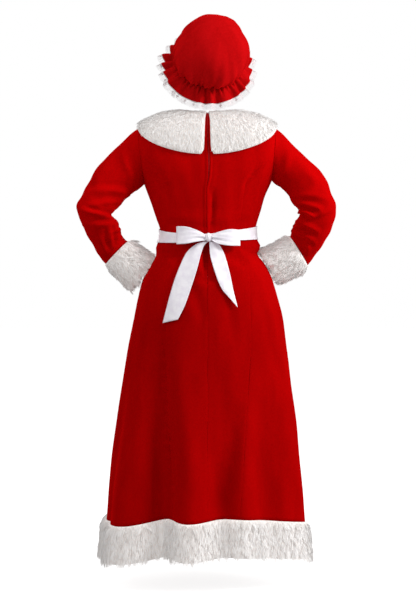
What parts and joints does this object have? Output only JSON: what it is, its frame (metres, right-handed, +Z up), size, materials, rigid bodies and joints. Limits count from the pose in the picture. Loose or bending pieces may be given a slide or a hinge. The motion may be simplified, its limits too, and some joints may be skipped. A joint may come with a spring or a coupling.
{
  "type": "christmas costume dress",
  "caption": "Long-sleeved red velvet costume dress with white fur collar, cuffs and hem, a satin sash tied behind, and its matching mob cap, in the hollow form it has when worn.",
  "frame": {"origin": "centre of the neck opening, at the height of the shoulder seams where they meet the collar", "axes": "+Z up, +Y to the garment's back where the zip and bow are, +X to the wearer's left"},
  "size_m": [0.7958, 0.5654, 1.6757],
  "materials": {
    "velvet": "crushed red velvet",
    "fur": "white long-pile faux fur",
    "satin": "white satin ribbon",
    "lace": "white open lace edging",
    "zip_coil": "red nylon coil on woven tape"
  },
  "bodies": {
    "root": {"back_centre_left": "velvet", "back_centre_right": "velvet", "back_side_left": "velvet", "back_side_right": "velvet", "front_side_left": "velvet", "front_side_right": "velvet", "front_centre": "velvet", "zip": "zip_coil", "sleeve_left": "velvet", "sleeve_right": "velvet", "cuff_left": "fur", "cuff_right": "fur", "collar": "fur", "hem_fur": "fur", "sash": "satin", "bow_knot": "satin", "bow_loop_left": "satin", "bow_loop_right": "satin", "bow_tail_left": "satin", "bow_tail_right": "satin", "cap_crown": "velvet", "cap_ruffle": "velvet", "cap_lace": "lace"}
  },
  "joints": []
}
